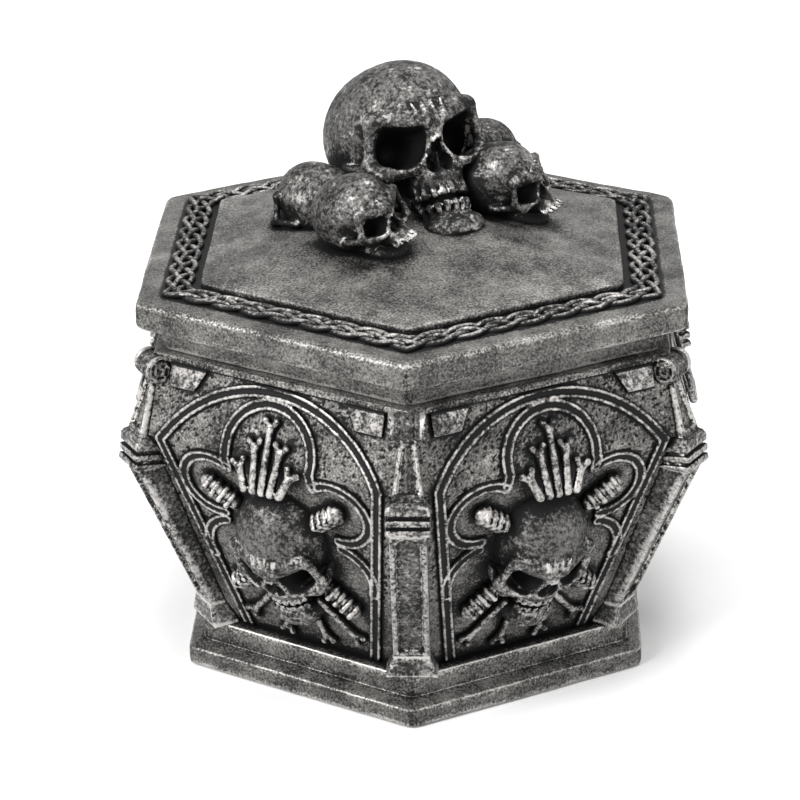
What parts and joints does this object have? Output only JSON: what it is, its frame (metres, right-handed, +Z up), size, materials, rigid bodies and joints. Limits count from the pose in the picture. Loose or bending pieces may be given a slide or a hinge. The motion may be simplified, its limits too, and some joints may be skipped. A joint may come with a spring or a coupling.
{
  "type": "trinket box",
  "caption": "Hexagonal gothic trinket box with flared skull panels under tracery arches, corner piers on a stepped plinth, and a lift-off lid with a knot border and a skull finial.",
  "frame": {"origin": "on the table under the middle of the box", "axes": "+Z up, a corner pier at the front on -Y, flat sides towards +X and -X"},
  "size_m": [0.1094, 0.1218, 0.1077],
  "materials": {
    "pewter_field": "cold-cast resin, antique pewter paint with a dark wash",
    "pewter_relief": "cold-cast resin, antique pewter paint, raised edges dry-brushed silver",
    "felt": "black self-adhesive felt"
  },
  "bodies": {
    "box": {"felt_pad": "felt", "plinth": "pewter_field", "bowl": "pewter_field", "pier_front": "pewter_relief", "pier_front_right": "pewter_relief", "pier_back_right": "pewter_relief", "pier_back": "pewter_relief", "pier_back_left": "pewter_relief", "pier_front_left": "pewter_relief", "tracery_front_right": "pewter_relief", "tracery_right": "pewter_relief", "tracery_back_right": "pewter_relief", "tracery_back_left": "pewter_relief", "tracery_left": "pewter_relief", "tracery_front_left": "pewter_relief", "panel_skull_front_right": "pewter_relief", "panel_skull_right": "pewter_relief", "panel_skull_back_right": "pewter_relief", "panel_skull_back_left": "pewter_relief", "panel_skull_left": "pewter_relief", "panel_skull_front_left": "pewter_relief", "panel_bones_front_right": "pewter_relief", "panel_bones_right": "pewter_relief", "panel_bones_back_right": "pewter_relief", "panel_bones_back_left": "pewter_relief", "panel_bones_left": "pewter_relief", "panel_bones_front_left": "pewter_relief"},
    "lid": {"lid_slab": "pewter_field", "hip_panel": "pewter_field", "knot_border": "pewter_relief", "main_skull": "pewter_relief", "small_skull_front_left": "pewter_relief", "small_skull_back_left": "pewter_relief", "small_skull_front_right": "pewter_relief", "small_skull_back_right": "pewter_relief"}
  },
  "joints": [
    {"name": "lid_lift", "type": "slide", "parent": "box", "child": "lid", "axis": [0, 0, 1], "range_m": [0, 0.08]}
  ]
}
